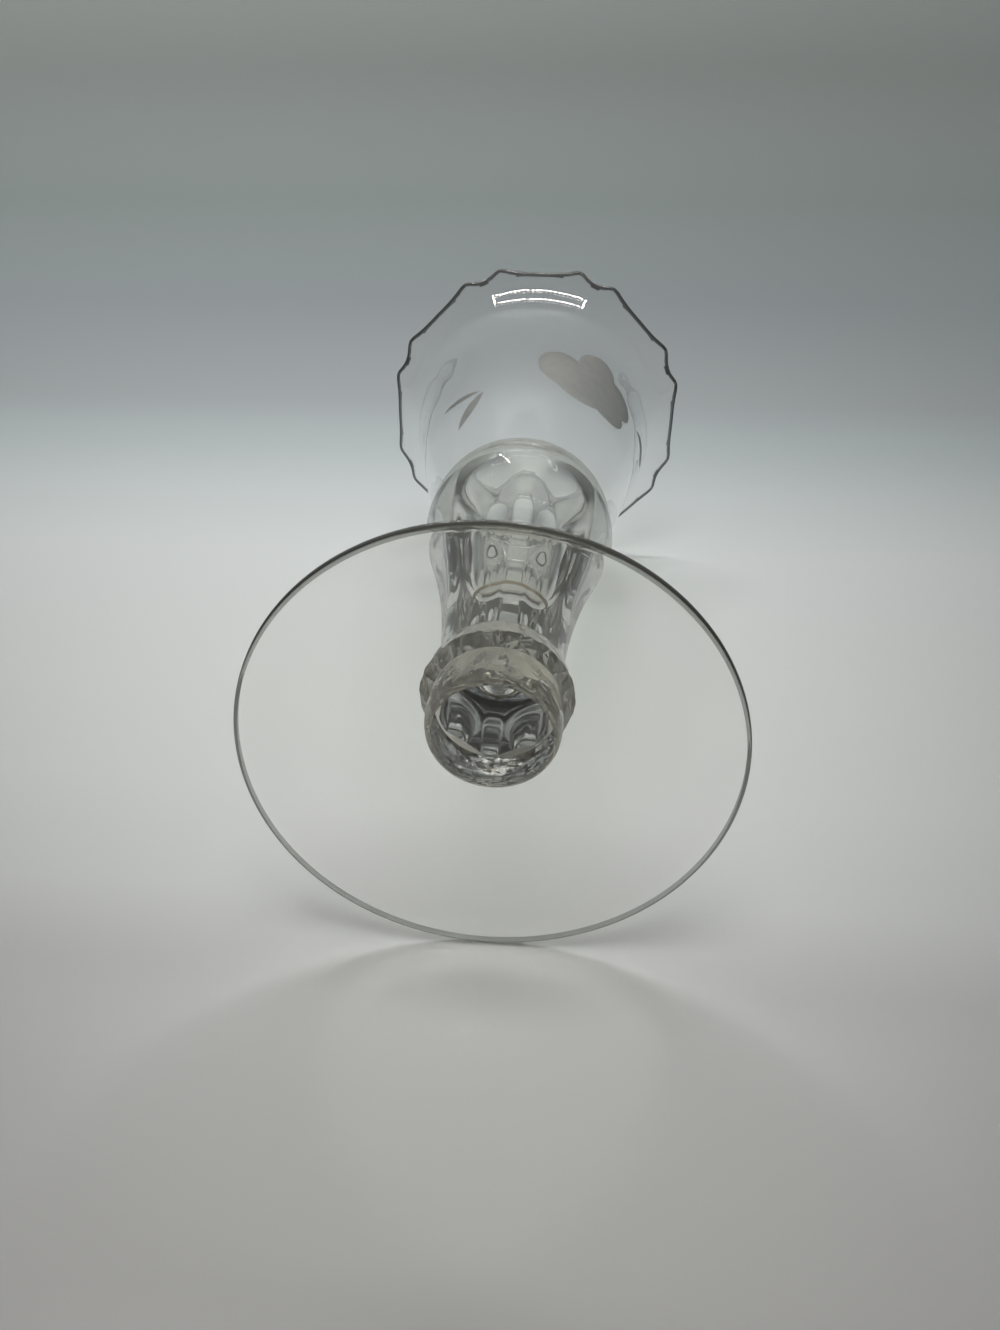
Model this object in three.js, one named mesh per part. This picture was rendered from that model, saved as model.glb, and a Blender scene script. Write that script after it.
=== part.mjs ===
import * as THREE from 'three';

// Footed glass vase with a fluted body and a scalloped flaring bowl.
// Sizes are in millimetres. Z is the axis of the vase, and Z = 0 is the plane it stands on.
// Azimuths are in degrees, counted from -Y towards +X.

// Foot: a thin disc, domed underneath, that stands on a flat ring just inside its edge.
const FOOT_RADIUS = 45.6;
const FOOT_EDGE_THICKNESS = 2.6;
const FOOT_RING_WIDTH = 2.4;
const FOOT_DOME_RISE = 6.4;
const FOOT_CENTRE_THICKNESS = 3.4;
const FOOT_SEAT_RADIUS = 11.6;
const FOOT_SEAT_DROP = 0.5;
const FOOT_CURVE_REACH = 1 / 3;

// Button: the short solid drum that is sealed to the middle of the foot.
const BUTTON_HEIGHT = 10.2;
const BUTTON_BELLY_RADIUS = 13.6;
const BUTTON_BELLY_HEIGHT = 6.1;
const BUTTON_TOP_RADIUS = 12.6;

// Collar: a ring with one sharp edge between the button and the body.
const COLLAR_HEIGHT = 8;
const COLLAR_EDGE_RADIUS = 14.8;
const COLLAR_EDGE_HEIGHT = 2;
const COLLAR_CREST_RADIUS = 13.7;
const COLLAR_CREST_HEIGHT = 6.4;
const COLLAR_TOP_RADIUS = 13.1;

// Fluted body: thick glass, a rib between each two flutes and a rolled shoulder on top.
// The neck stays slim for a share of the height before the ribs swing out to the shoulder.
const BODY_HEIGHT = 81;
const NECK_RADIUS = 12.6;
const NECK_SLIM_SHARE = 0.44;
const SHOULDER_RADIUS = 24.4;
const SHOULDER_ROLL_HEIGHT = 12.5;
const SHOULDER_EASE = 1.6;
const FLUTE_COUNT = 6;
const FIRST_RIB_AZIMUTH = 7;
const RIB_WIDTH = 4;
const FLUTE_DEPTH_AT_NECK = 1.1;
const FLUTE_DEPTH_AT_ARCH = 2.2;
const FLUTE_ARCH_HEIGHT = 16;

// Bore: the narrow tapering well inside the body, open into the bowl through a long funnel.
const BORE_FLOOR_HEIGHT = 21;
const BORE_FLOOR_RADIUS = 8.4;
const BORE_FLAT_RADIUS = 2;
const BORE_WAIST_RADIUS = 8.6;
const BORE_WAIST_HEIGHT = 12;
const BORE_THROAT_RADIUS = 11;
const BORE_MOUTH_HEIGHT = 28;
const BORE_FUNNEL_RADIUS = 13;
const BORE_FUNNEL_HEIGHT = 11;

// Bowl: a thin wall that widens slowly and flares at the rim.
const BOWL_HEIGHT = 93.2;
const SEAM_RADIUS = 22.8;
const SEAM_WALL = 3;
const SEAM_SQUARE_SHARE = 0.2;
const SEAM_THINNING_SHARE = 0.34;
const BOWL_WALL_RADIUS = 36.5;
const BOWL_WALL = 2;
const RIM_WALL = 1.6;
const RIM_RADIUS = 51.2;
const FLARE_SHARPNESS = 9.5;
const LIP_ROUND_SHARE = 0.4;

// Rim: wide shallow scallops with a narrow notch between each two of them.
const SCALLOP_COUNT = 8;
const FIRST_SCALLOP_AZIMUTH = 1;
const SCALLOP_DIP = 2;
const SCALLOP_SPAN = 31.2;
const SCALLOP_FLATNESS = 2.5;
const NOTCH_DIP = 1.7;
const NOTCH_FLATNESS = 1.75;

// How finely the curved surfaces are divided.
const ROUND_STEPS = 60;
const STEM_STEPS = 48;
const STEPS_PER_FLUTE = 12;
const STEPS_PER_SCALLOP = 6;
const STEPS_PER_NOTCH = 4;
const FOOT_CURVE_STEPS = 7;
const EDGE_ROUND_STEPS = 4;
const BUTTON_STEPS = 7;
const RIB_LINE_STEPS = 16;
const ROLL_STEPS = 5;
const BORE_STEPS = 7;
const BOWL_SHARES = [0, 0.09, 0.2, 0.34, 0.5, 0.64, 0.75, 0.84, 0.9, 0.94, 0.97, 1];

// Heights of the seats, from the foot up.
const footSeat = FOOT_DOME_RISE + FOOT_CENTRE_THICKNESS;
const collarSeat = footSeat + BUTTON_HEIGHT;
const bodySeat = collarSeat + COLLAR_HEIGHT;
const bowlSeat = bodySeat + BODY_HEIGHT;

function glass(colour, roughness) {
  return new THREE.MeshStandardMaterial({
    color: colour,
    roughness,
    metalness: 0,
    transparent: true,
    opacity: 0.35,
  });
}

function toRadians(degrees) {
  return (degrees * Math.PI) / 180;
}

// A point at a radius, an azimuth and a height.
function polar(radius, azimuth, height) {
  const angle = toRadians(azimuth);
  return new THREE.Vector3(radius * Math.sin(angle), -radius * Math.cos(angle), height);
}

// Turns an outline of [radius, height] pairs about Z. The outline starts and ends on the axis.
function turned(outline, steps) {
  const points = outline.map(([radius, height]) => new THREE.Vector2(radius, height));
  return new THREE.LatheGeometry(points, steps).rotateX(Math.PI / 2);
}

// Skins a stack of rings that have the same number of points, listed from the outside bottom
// over the top and down the inside. Each end is closed by a fan to the middle of its ring,
// or the last ring is joined to the first when the wall goes right round.
function lofted(rings, wallGoesRound) {
  const count = rings[0].length;
  const positions = rings.flat().flatMap((point) => [point.x, point.y, point.z]);
  const triangles = [];
  const strips = wallGoesRound ? rings.length : rings.length - 1;
  for (let row = 0; row < strips; row += 1) {
    const low = row * count;
    const high = ((row + 1) % rings.length) * count;
    for (let i = 0; i < count; i += 1) {
      const next = (i + 1) % count;
      triangles.push(low + i, low + next, high + next);
      triangles.push(low + i, high + next, high + i);
    }
  }
  if (!wallGoesRound) {
    const firstHub = positions.length / 3;
    positions.push(0, 0, rings[0][0].z);
    positions.push(0, 0, rings[rings.length - 1][0].z);
    const lastRing = (rings.length - 1) * count;
    for (let i = 0; i < count; i += 1) {
      const next = (i + 1) % count;
      triangles.push(firstHub, next, i);
      triangles.push(firstHub + 1, lastRing + i, lastRing + next);
    }
  }
  const geometry = new THREE.BufferGeometry();
  geometry.setAttribute('position', new THREE.Float32BufferAttribute(positions, 3));
  geometry.setIndex(triangles);
  geometry.computeVertexNormals();
  return geometry;
}

// Foot: the underside rises from the standing ring, and the top flows up to the button's seat.
function makeFoot() {
  const edgeRound = FOOT_EDGE_THICKNESS / 2;
  const ringOuter = FOOT_RADIUS - edgeRound;
  const ringInner = ringOuter - FOOT_RING_WIDTH;
  const underside = new THREE.CubicBezierCurve(
    new THREE.Vector2(0, FOOT_DOME_RISE),
    new THREE.Vector2(ringInner * FOOT_CURVE_REACH, FOOT_DOME_RISE),
    new THREE.Vector2(ringInner * (1 - FOOT_CURVE_REACH), FOOT_DOME_RISE * FOOT_CURVE_REACH),
    new THREE.Vector2(ringInner, 0),
  );
  const topside = new THREE.CubicBezierCurve(
    new THREE.Vector2(ringOuter, FOOT_EDGE_THICKNESS),
    new THREE.Vector2(
      ringOuter * (1 - FOOT_CURVE_REACH),
      FOOT_EDGE_THICKNESS + FOOT_DOME_RISE * FOOT_CURVE_REACH,
    ),
    new THREE.Vector2((FOOT_SEAT_RADIUS + ringOuter) * FOOT_CURVE_REACH, footSeat - FOOT_SEAT_DROP),
    new THREE.Vector2(FOOT_SEAT_RADIUS, footSeat),
  );
  const outline = underside.getPoints(FOOT_CURVE_STEPS).map((point) => [point.x, point.y]);
  for (let i = 0; i <= EDGE_ROUND_STEPS; i += 1) {
    const angle = toRadians((180 * i) / EDGE_ROUND_STEPS - 90);
    outline.push([
      ringOuter + edgeRound * Math.cos(angle),
      edgeRound + edgeRound * Math.sin(angle),
    ]);
  }
  topside.getPoints(FOOT_CURVE_STEPS).slice(1).forEach((point) => outline.push([point.x, point.y]));
  outline.push([0, footSeat]);
  return turned(outline, ROUND_STEPS);
}

// Button: rounded where it leaves the seal, fullest below the middle.
function makeButton() {
  const side = new THREE.CubicBezierCurve(
    new THREE.Vector2(FOOT_SEAT_RADIUS, 0),
    new THREE.Vector2(BUTTON_BELLY_RADIUS, 0),
    new THREE.Vector2(BUTTON_BELLY_RADIUS, BUTTON_BELLY_HEIGHT),
    new THREE.Vector2(BUTTON_TOP_RADIUS, BUTTON_HEIGHT),
  );
  const outline = [[0, 0]];
  side.getPoints(BUTTON_STEPS).forEach((point) => outline.push([point.x, point.y]));
  outline.push([0, BUTTON_HEIGHT]);
  return turned(outline, STEM_STEPS);
}

// Collar: a sharp edge low down, a blunt crest above it, then in to a narrow ledge at the neck.
function makeCollar() {
  const outline = [
    [0, 0],
    [BUTTON_TOP_RADIUS, 0],
    [COLLAR_EDGE_RADIUS, COLLAR_EDGE_HEIGHT],
    [COLLAR_CREST_RADIUS, COLLAR_CREST_HEIGHT],
    [COLLAR_TOP_RADIUS, COLLAR_HEIGHT],
    [0, COLLAR_HEIGHT],
  ];
  return turned(outline, STEM_STEPS);
}

// Depth of a flute below the line of the ribs, at a height and at an angle from its middle.
function fluteDepth(height, ribRadius, offset) {
  const archTop = BODY_HEIGHT - SHOULDER_ROLL_HEIGHT;
  const archFoot = archTop - FLUTE_ARCH_HEIGHT;
  const rise = Math.min(Math.max((height - archFoot) / FLUTE_ARCH_HEIGHT, 0), 1);
  const arch = Math.sqrt(1 - rise * rise);
  const ribAngle = RIB_WIDTH / ribRadius;
  const halfSpan = (Math.PI / FLUTE_COUNT - ribAngle / 2) * arch;
  if (halfSpan <= Math.abs(offset)) return 0;
  const along = Math.min(height / archFoot, 1);
  const depth = THREE.MathUtils.lerp(FLUTE_DEPTH_AT_NECK, FLUTE_DEPTH_AT_ARCH, along);
  return depth * arch ** 2 * (1 - (offset / halfSpan) ** 2);
}

// Fluted body: ribs follow one swelling line, flutes sink between them, the bore goes down inside.
function makeBody() {
  const rollFoot = BODY_HEIGHT - SHOULDER_ROLL_HEIGHT;
  const ribLine = new THREE.CubicBezierCurve(
    new THREE.Vector2(NECK_RADIUS, 0),
    new THREE.Vector2(NECK_RADIUS, rollFoot * NECK_SLIM_SHARE),
    new THREE.Vector2(SHOULDER_RADIUS, rollFoot - SHOULDER_EASE),
    new THREE.Vector2(SHOULDER_RADIUS, rollFoot),
  );
  const roll = new THREE.EllipseCurve(
    SEAM_RADIUS,
    rollFoot,
    SHOULDER_RADIUS - SEAM_RADIUS,
    SHOULDER_ROLL_HEIGHT,
    0,
    Math.PI / 2,
  );
  const mouth = new THREE.CubicBezierCurve(
    new THREE.Vector2(SEAM_RADIUS - SEAM_WALL, BODY_HEIGHT),
    new THREE.Vector2(SEAM_RADIUS - SEAM_WALL, BODY_HEIGHT - BORE_MOUTH_HEIGHT / 2),
    new THREE.Vector2(BORE_FUNNEL_RADIUS, BODY_HEIGHT - BORE_MOUTH_HEIGHT + BORE_FUNNEL_HEIGHT),
    new THREE.Vector2(BORE_THROAT_RADIUS, BODY_HEIGHT - BORE_MOUTH_HEIGHT),
  );
  const well = new THREE.CubicBezierCurve(
    new THREE.Vector2(BORE_THROAT_RADIUS, BODY_HEIGHT - BORE_MOUTH_HEIGHT),
    new THREE.Vector2(BORE_WAIST_RADIUS, BORE_FLOOR_HEIGHT + BORE_WAIST_HEIGHT),
    new THREE.Vector2(BORE_FLOOR_RADIUS, BORE_FLOOR_HEIGHT),
    new THREE.Vector2(BORE_FLAT_RADIUS, BORE_FLOOR_HEIGHT),
  );
  const around = FLUTE_COUNT * STEPS_PER_FLUTE;
  const flutePitch = 360 / FLUTE_COUNT;
  const ring = (radius, height, fluted) => {
    const points = [];
    for (let i = 0; i < around; i += 1) {
      const turn = (i * 360) / around;
      const offset = toRadians((turn % flutePitch) - flutePitch / 2);
      const depth = fluted ? fluteDepth(height, radius, offset) : 0;
      points.push(polar(radius - depth, FIRST_RIB_AZIMUTH + turn, height));
    }
    return points;
  };
  const rings = [];
  const addRings = (points, fluted) => {
    points.forEach((point) => rings.push(ring(point.x, point.y, fluted)));
  };
  addRings(ribLine.getPoints(RIB_LINE_STEPS), true);
  addRings(roll.getPoints(ROLL_STEPS).slice(1), false);
  addRings(mouth.getPoints(BORE_STEPS), false);
  addRings(well.getPoints(BORE_STEPS).slice(1), false);
  return lofted(rings, false);
}

// Outer radius of the bowl, where share runs from 0 at the seam to 1 at the rim's tips.
function bowlRadius(share) {
  const swell = (BOWL_WALL_RADIUS - SEAM_RADIUS) * (1 - (1 - share) ** 2);
  const flare = (RIM_RADIUS - BOWL_WALL_RADIUS) * share ** FLARE_SHARPNESS;
  return SEAM_RADIUS + swell + flare;
}

// How fast that radius grows with height.
function bowlSlope(share) {
  const swell = 2 * (BOWL_WALL_RADIUS - SEAM_RADIUS) * (1 - share);
  const flare = (RIM_RADIUS - BOWL_WALL_RADIUS) * FLARE_SHARPNESS * share ** (FLARE_SHARPNESS - 1);
  return (swell + flare) / BOWL_HEIGHT;
}

// Azimuths round the rim, each with how far the rim dips there.
function rimStations() {
  const pitch = 360 / SCALLOP_COUNT;
  const halfScallop = SCALLOP_SPAN / 2;
  const halfNotch = (pitch - SCALLOP_SPAN) / 2;
  const stations = [];
  for (let k = 0; k < SCALLOP_COUNT; k += 1) {
    const middle = FIRST_SCALLOP_AZIMUTH + k * pitch;
    for (let i = 0; i < STEPS_PER_SCALLOP; i += 1) {
      const place = (2 * i) / STEPS_PER_SCALLOP - 1;
      const dip = SCALLOP_DIP * (1 - Math.abs(place) ** SCALLOP_FLATNESS);
      stations.push({ azimuth: middle + place * halfScallop, dip });
    }
    for (let i = 0; i < STEPS_PER_NOTCH; i += 1) {
      const place = (2 * i) / STEPS_PER_NOTCH - 1;
      const dip = NOTCH_DIP * (1 - Math.abs(place) ** NOTCH_FLATNESS);
      stations.push({ azimuth: middle + pitch / 2 + place * halfNotch, dip });
    }
  }
  return stations;
}

// Bowl: the outer wall up to the rim, a rounded lip, and the inner wall back to the seam.
function makeBowl() {
  const stations = rimStations();
  const section = (share, top) => {
    const height = share * top;
    const whole = height / BOWL_HEIGHT;
    const radius = bowlRadius(whole);
    const slope = bowlSlope(whole);
    const length = Math.hypot(1, slope);
    const lean = Math.min(share / SEAM_SQUARE_SHARE, 1) * slope;
    const thin = THREE.MathUtils.lerp(BOWL_WALL, RIM_WALL, share);
    const thinning = Math.min(share / SEAM_THINNING_SHARE, 1);
    const wall = THREE.MathUtils.lerp(SEAM_WALL, thin, thinning);
    return { radius, height, wall, outward: 1 / length, upward: -lean / length };
  };
  const ring = (share, inset) => stations.map(({ azimuth, dip }) => {
    const at = section(share, BOWL_HEIGHT - dip);
    const sunk = share === 0 ? at.wall * inset : at.wall * inset * at.outward;
    const height = at.height - at.wall * inset * at.upward;
    return polar(at.radius - sunk, azimuth, height);
  });
  const rings = BOWL_SHARES.map((share) => ring(share, 0));
  const lip = stations.map(({ azimuth, dip }) => {
    const at = section(1, BOWL_HEIGHT - dip);
    const middleRadius = at.radius - (at.wall / 2) * at.outward;
    const middleHeight = at.height - (at.wall / 2) * at.upward;
    const reach = at.wall * LIP_ROUND_SHARE;
    return polar(middleRadius - reach * at.upward, azimuth, middleHeight + reach * at.outward);
  });
  rings.push(lip);
  [...BOWL_SHARES].reverse().forEach((share) => rings.push(ring(share, 1)));
  return lofted(rings, true);
}

function piece(name, geometry, seatHeight, material) {
  const mesh = new THREE.Mesh(geometry, material);
  mesh.name = name;
  mesh.position.z = seatHeight;
  return mesh;
}

const blownGlass = glass('#dfe5e2', 0.03);
const pressedGlass = glass('#d6dcd8', 0.05);

const vase = new THREE.Group();
vase.name = 'vase';
const stem = new THREE.Group();
stem.add(piece('button', makeButton(), footSeat, pressedGlass));
stem.add(piece('collar', makeCollar(), collarSeat, pressedGlass));
vase.add(piece('foot', makeFoot(), 0, blownGlass));
vase.add(stem);
vase.add(piece('fluted_body', makeBody(), bodySeat, pressedGlass));
vase.add(piece('bowl', makeBowl(), bowlSeat, blownGlass));

export default vase;
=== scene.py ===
import math

import bmesh
import bpy
from mathutils import Matrix, Vector


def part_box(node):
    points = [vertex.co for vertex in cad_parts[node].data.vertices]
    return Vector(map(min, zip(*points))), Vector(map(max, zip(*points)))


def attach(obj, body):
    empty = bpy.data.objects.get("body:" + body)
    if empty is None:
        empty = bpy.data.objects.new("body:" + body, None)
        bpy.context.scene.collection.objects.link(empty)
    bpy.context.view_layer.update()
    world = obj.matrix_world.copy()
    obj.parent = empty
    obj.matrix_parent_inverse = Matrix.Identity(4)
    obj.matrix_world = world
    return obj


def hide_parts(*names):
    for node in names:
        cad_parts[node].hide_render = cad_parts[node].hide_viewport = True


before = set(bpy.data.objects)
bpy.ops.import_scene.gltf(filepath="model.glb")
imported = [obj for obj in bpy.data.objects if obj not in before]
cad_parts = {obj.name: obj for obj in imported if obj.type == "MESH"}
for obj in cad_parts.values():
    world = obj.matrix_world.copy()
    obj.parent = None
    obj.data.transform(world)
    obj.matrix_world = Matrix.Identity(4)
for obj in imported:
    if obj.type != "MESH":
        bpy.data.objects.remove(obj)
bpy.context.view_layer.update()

# Foot
# A thin disc of blown glass, domed underneath, that stands on a flat ring just inside its edge.
# It is spun out flat while soft, its edge is rounded in the flame, and its middle is fused to
# the button above it.
MM = 0.001
foot_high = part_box("foot")[1]
FOOT_RADIUS = foot_high.x
FOOT_SEAT = foot_high.z
FOOT_SEAT_RADIUS = 11.6 * MM
FOOT_EDGE_RADIUS = 1.3 * MM
FOOT_RING_WIDTH = 2.4 * MM
FOOT_DOME_RISE = 6.4 * MM
FOOT_SEAT_DROP = 0.5 * MM
FOOT_CURVE_REACH = 1 / 3
EDGE_ROUND_STEPS = 6
POLE_RADIUS = 0.5 * MM
STEM_STEPS = 120
SMOOTH_ANGLE = 35
GLASS_BENDING = 1.5
WAVES_PER_METRE = 60
SPECKS_PER_METRE = 900
UNTINTED = (1, 1, 1, 1)
SHADOW_TINT = (0.96, 0.97, 0.96, 1)
BLOWN_TINT = (0.98, 0.975, 0.97, 1)
# The foot's rounded edge is given a dark tint: painted shade.
EDGE_SHADE_TINT = (0.34, 0.35, 0.33, 1)
WEAR_GREY = (0.22, 0.22, 0.2, 1)
EDGE_SHADOW = 0.65
EDGE_SHADOW_REACH = (0.86, 0.92)


def curve(start, leave, arrive, end, steps):
    """Points on a smooth curve, each a (radius, height) pair, from the start to the end."""
    points = []
    for step in range(steps + 1):
        share = step / steps
        rest = 1 - share
        weights = (rest**3, 3 * rest**2 * share, 3 * rest * share**2, share**3)
        pairs = (start, leave, arrive, end)
        radius = sum(weight * pair[0] for weight, pair in zip(weights, pairs))
        height = sum(weight * pair[1] for weight, pair in zip(weights, pairs))
        points.append((radius, height))
    return points


def open_ring(name, radius, height, steps, azimuth):
    """A ring of edges round the axis, open for modelling, with one point at that azimuth."""
    bpy.ops.object.select_all(action="DESELECT")
    turn = math.radians(azimuth)
    bpy.ops.mesh.primitive_circle_add(
        vertices=steps, radius=radius, location=(0, 0, height), rotation=(0, 0, turn)
    )
    piece = bpy.context.object
    piece.name = name
    piece.data.name = name
    bpy.ops.object.transform_apply(location=True, rotation=True, scale=True)
    bpy.ops.object.mode_set(mode="EDIT")
    return piece


def draw_wall(outline):
    """Extrudes the selected ring along an outline of (radius, height) pairs."""
    for (radius, height), (next_radius, next_height) in zip(outline, outline[1:]):
        bpy.ops.mesh.extrude_edges_move(
            TRANSFORM_OT_translate={"value": (0, 0, next_height - height)}
        )
        bpy.ops.transform.resize(
            value=(next_radius / radius, next_radius / radius, 1),
            center_override=(0, 0, next_height),
        )


def azimuth_of(point):
    """Degrees round the axis, from -Y towards +X."""
    return math.degrees(math.atan2(point.x, -point.y))


def pick(test):
    """Selects the points of the open mesh that pass the test, and what lies between them."""
    bpy.ops.mesh.select_all(action="DESELECT")
    mesh = bmesh.from_edit_mesh(bpy.context.object.data)
    for point in mesh.verts:
        point.select_set(test(point.co))
    mesh.select_flush(True)


def on_ring(radius, height, slack=0.02 * MM):
    """A test for points at that distance from the axis and at that height."""

    def test(point):
        away = math.hypot(point.x, point.y) - radius
        return abs(away) < slack and abs(point.z - height) < slack

    return test


def crease_ring(radius, height):
    """Keeps the edge of a seat crisp when the piece is smoothed."""
    pick(on_ring(radius, height))
    bpy.ops.transform.edge_crease(value=1)


def assign_faces(test, slot_index):
    """Gives the faces whose middle and normal pass the test that material slot."""
    bpy.ops.mesh.select_all(action="DESELECT")
    mesh = bmesh.from_edit_mesh(bpy.context.object.data)
    for face in mesh.faces:
        face.select_set(test(face.calc_center_median(), face.normal))
    bpy.context.object.active_material_index = slot_index
    bpy.ops.object.material_slot_assign()


def finish_glass(piece, materials, slots, cad_node):
    """Smooths the shell, closes its poles, gives it its materials and sets it in the frame."""
    bpy.ops.object.mode_set(mode="OBJECT")
    smooth = piece.modifiers.new("smooth", "SUBSURF")
    smooth.levels = 1
    smooth.render_levels = 1
    bpy.ops.object.modifier_apply(modifier=smooth.name)
    bpy.ops.object.mode_set(mode="EDIT")
    bpy.ops.mesh.select_all(action="DESELECT")
    bpy.ops.mesh.select_non_manifold(
        use_wire=False, use_multi_face=False, use_non_contiguous=False
    )
    bpy.ops.mesh.extrude_edges_move(TRANSFORM_OT_translate={"value": (0, 0, 0)})
    bpy.ops.mesh.merge(type="COLLAPSE")
    bpy.ops.mesh.select_all(action="SELECT")
    bpy.ops.mesh.remove_doubles(threshold=0.001 * MM)
    bpy.ops.mesh.normals_make_consistent(inside=False)
    for material in materials:
        piece.data.materials.append(material)
    for slot_index, test in slots:
        assign_faces(test, slot_index)
    bpy.ops.object.mode_set(mode="OBJECT")
    bpy.ops.object.shade_smooth_by_angle(angle=math.radians(SMOOTH_ANGLE))
    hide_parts(cad_node)
    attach(piece, "root")


class Value:
    """A socket of a finish, so that sums on it are written as sums."""

    def __init__(self, finish, socket):
        self.finish = finish
        self.socket = socket

    def math(self, operation, *others):
        return self.finish.node("Math", {"operation": operation}, [self, *others])

    def __add__(self, other):
        return self.math("ADD", other)

    __radd__ = __add__

    def __mul__(self, other):
        return self.math("MULTIPLY", other)

    __rmul__ = __mul__

    def __sub__(self, other):
        return self.math("SUBTRACT", other)

    def __rsub__(self, other):
        return self.finish.node("Math", {"operation": "SUBTRACT"}, [other, self])

    def __truediv__(self, other):
        return self.math("DIVIDE", other)

    def __pow__(self, other):
        return self.math("POWER", other)

    def __abs__(self):
        return self.math("ABSOLUTE")

    def at_most(self, other):
        return self.math("MINIMUM", other)

    def at_least(self, other):
        return self.math("MAXIMUM", other)

    def between(self, low, high):
        """0 below low, 1 above high and an even slope from one to the other."""
        return ((self - low) / (high - low)).at_least(0).at_most(1)


class Finish:
    """The nodes of a material or of the world."""

    def __init__(self, owner):
        owner.use_nodes = True
        self.tree = owner.node_tree
        self.tree.nodes.clear()

    def node(self, kind, settings, inputs, output=0):
        made = self.tree.nodes.new("ShaderNode" + kind)
        for name, setting in settings.items():
            if name == "stops":
                for place, colour in setting[2:]:
                    made.color_ramp.elements.new(place)
                for stop, (place, colour) in zip(made.color_ramp.elements, setting):
                    stop.position = place
                    stop.color = colour
            else:
                setattr(made, name, setting)
        for key, value in inputs.items() if isinstance(inputs, dict) else enumerate(inputs):
            if isinstance(value, Value):
                self.tree.links.new(value.socket, made.inputs[key])
            else:
                made.inputs[key].default_value = value
        return made if output is None else Value(self, made.outputs[output])

    def place(self):
        """The x, y and z of a point of the piece, in metres."""
        object_place = self.node("TexCoord", {}, {}, "Object")
        return [self.node("SeparateXYZ", {}, [object_place], axis) for axis in range(3)]

    def ripple(self, scale, detail=2.0):
        """Soft noise over the piece, from 0 to 1, with about scale waves in a metre."""
        object_place = self.node("TexCoord", {}, {}, "Object")
        settings = {"noise_dimensions": "3D"}
        inputs = {"Vector": object_place, "Scale": scale, "Detail": detail}
        return self.node("TexNoise", settings, inputs)

    def let_light_through(self, shader, shade, clear=1):
        """Lets a share of the lamplight pass straight, less where it meets the glass at a slant."""
        rays = self.node("LightPath", {}, {}, "Is Shadow Ray")
        scattered = self.node("LightPath", {}, {}, "Is Diffuse Ray")
        slant = self.node("LayerWeight", {}, {"Blend": 0.5}, "Facing")
        passing = clear * rays.at_least(scattered) * (1 - shade * slant**3)
        passed = self.node("BsdfTransparent", {}, {"Color": SHADOW_TINT})
        return self.node("MixShader", {}, [passing, shader, passed])

    def seen_through(self):
        """1 for what the camera sees itself or straight through glass, 0 for all other light."""
        path = self.node("LightPath", {}, {}, None)
        rays = {socket.name: Value(self, socket) for socket in path.outputs}
        straight = 1 - (rays["Glossy Depth"] + rays["Diffuse Depth"]).at_most(1)
        return rays["Is Camera Ray"].at_least(rays["Is Transmission Ray"]) * straight

    def show(self, shader, output_kind="OutputMaterial"):
        """Makes that shader the one that is seen."""
        self.node(output_kind, {}, {"Surface": shader}, None)


def new_finish(name):
    """A material of that name and its empty nodes."""
    material = bpy.data.materials.new(name)
    return material, Finish(material)


# Where two pieces are fused the glass runs on, so their touching faces bend no light.
hot_seal, finish = new_finish("hot_seal")
finish.show(finish.node("BsdfTransparent", {}, {"Color": UNTINTED}))


def clear_glass(finish, tint, roughness, bump=None):
    """Glass that is seen through, tinted where light passes its skin."""
    inputs = {
        "Base Color": tint,
        "Roughness": roughness,
        "IOR": GLASS_BENDING,
        "Transmission Weight": 1,
    }
    if bump:
        inputs["Normal"] = bump
    return finish.node("BsdfPrincipled", {}, inputs)


def blown(finish, roughness, relief):
    """Nearly colourless glass, with its skin raised by the relief."""
    bump = finish.node("Bump", {}, {"Strength": 0.05, "Distance": 0.4 * MM, "Height": relief})
    return clear_glass(finish, BLOWN_TINT, roughness, bump)


# Foot glass: clear, with the faint waves that spinning leaves. The foot spreads the light that
# comes through it near its edge, so its shadow is darkest there.
foot_glass, finish = new_finish("foot_glass")
waves = finish.ripple(WAVES_PER_METRE)
roughness = 0.004 + 0.012 * finish.ripple(SPECKS_PER_METRE, 4.0)
glass = blown(finish, roughness, waves)
x, y, z = finish.place()
away = (x * x + y * y) ** 0.5
near_edge = away.between(*(reach * FOOT_RADIUS for reach in EDGE_SHADOW_REACH))
finish.show(finish.let_light_through(glass, shade=0.9, clear=1 - EDGE_SHADOW * near_edge))


def edge_finish(name, tint, roughness, worn):
    """Glass at a rounded edge, darkened by its tint as painted shade for the light lost in it, with
    fine wear shown as grey.
    """
    material, finish = new_finish(name)
    glass = clear_glass(finish, tint, roughness)
    grey = finish.node("BsdfPrincipled", {}, {"Base Color": WEAR_GREY, "Roughness": 0.5})
    mixed = finish.node("MixShader", {}, [worn, glass, grey])
    finish.show(finish.let_light_through(mixed, shade=0.9, clear=0.1))
    return material


foot_edge_shaded_glass = edge_finish("foot_edge_shaded_glass", EDGE_SHADE_TINT, roughness=0.02, worn=0.25)

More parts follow.
